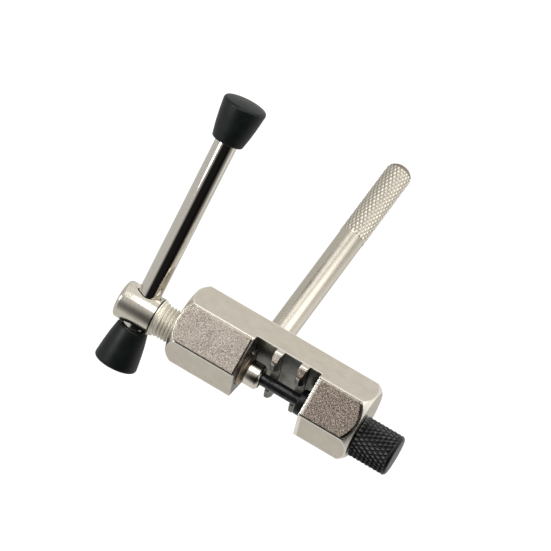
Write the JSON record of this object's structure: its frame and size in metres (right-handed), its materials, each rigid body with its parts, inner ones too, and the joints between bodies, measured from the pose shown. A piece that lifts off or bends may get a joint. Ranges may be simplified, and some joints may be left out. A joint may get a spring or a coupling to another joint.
{
  "type": "bicycle chain tool",
  "caption": "Screw-type bicycle chain tool: hexagonal body with a slotted chain cradle, sliding tommy bar with rubber caps, knurled backing screw and a side handle rod.",
  "frame": {"origin": "centre of the seat of the main chain cradle, the wall next to the backing screw", "axes": "+X along the screw axis towards the backing screw, +Y along the handle rod away from the open side of the gap, +Z along the chain"},
  "size_m": [0.0807, 0.0889, 0.0603],
  "materials": {
    "satin_nickel": "satin nickel plate with blasted panels",
    "bright_nickel": "bright plated",
    "polished_chrome": "polished",
    "nickel_knurl": "satin, knurled at the free end",
    "black_oxide": "oiled black oxide",
    "black_knurl": "black oxide, diamond knurl",
    "black_rubber": "satin moulded"
  },
  "bodies": {
    "tool_body": {"body": "satin_nickel", "handle_rod": "nickel_knurl"},
    "pin": {"driver_pin": "black_oxide"},
    "screw": {"drive_screw": "bright_nickel", "pin_retaining_nut": "polished_chrome"},
    "bar": {"tommy_bar": "polished_chrome", "bar_cap_lower": "black_rubber", "bar_cap_upper": "black_rubber"},
    "pad": {"backing_pad": "black_oxide"},
    "backing": {"backing_screw": "black_knurl"}
  },
  "joints": [
    {"name": "pin_feed", "type": "slide", "parent": "tool_body", "child": "pin", "axis": [1, 0, 0], "range_m": [-0.0176, 0.00196]},
    {"name": "screw_turn", "type": "hinge", "parent": "pin", "child": "screw", "pos_m": [-0.04465, -0.00395, 0], "axis": [1, 0, 0], "range_deg": [-6480, 720]},
    {"name": "bar_slide", "type": "slide", "parent": "screw", "child": "bar", "axis": [0, 0.7193, 0.6947], "range_m": [-0.0435, 0]},
    {"name": "backing_feed", "type": "slide", "parent": "tool_body", "child": "pad", "axis": [1, 0, 0], "range_m": [-0.0002, 0.0085]},
    {"name": "backing_turn", "type": "hinge", "parent": "pad", "child": "backing", "pos_m": [0.0244, -0.00395, 0], "axis": [1, 0, 0], "range_deg": [0, 2880]}
  ],
  "couplings": [
    {"joint": "pin_feed", "follows": "screw_turn", "m_per_rad": 0.00015548},
    {"joint": "backing_feed", "follows": "backing_turn", "m_per_rad": 0.00015915}
  ]
}
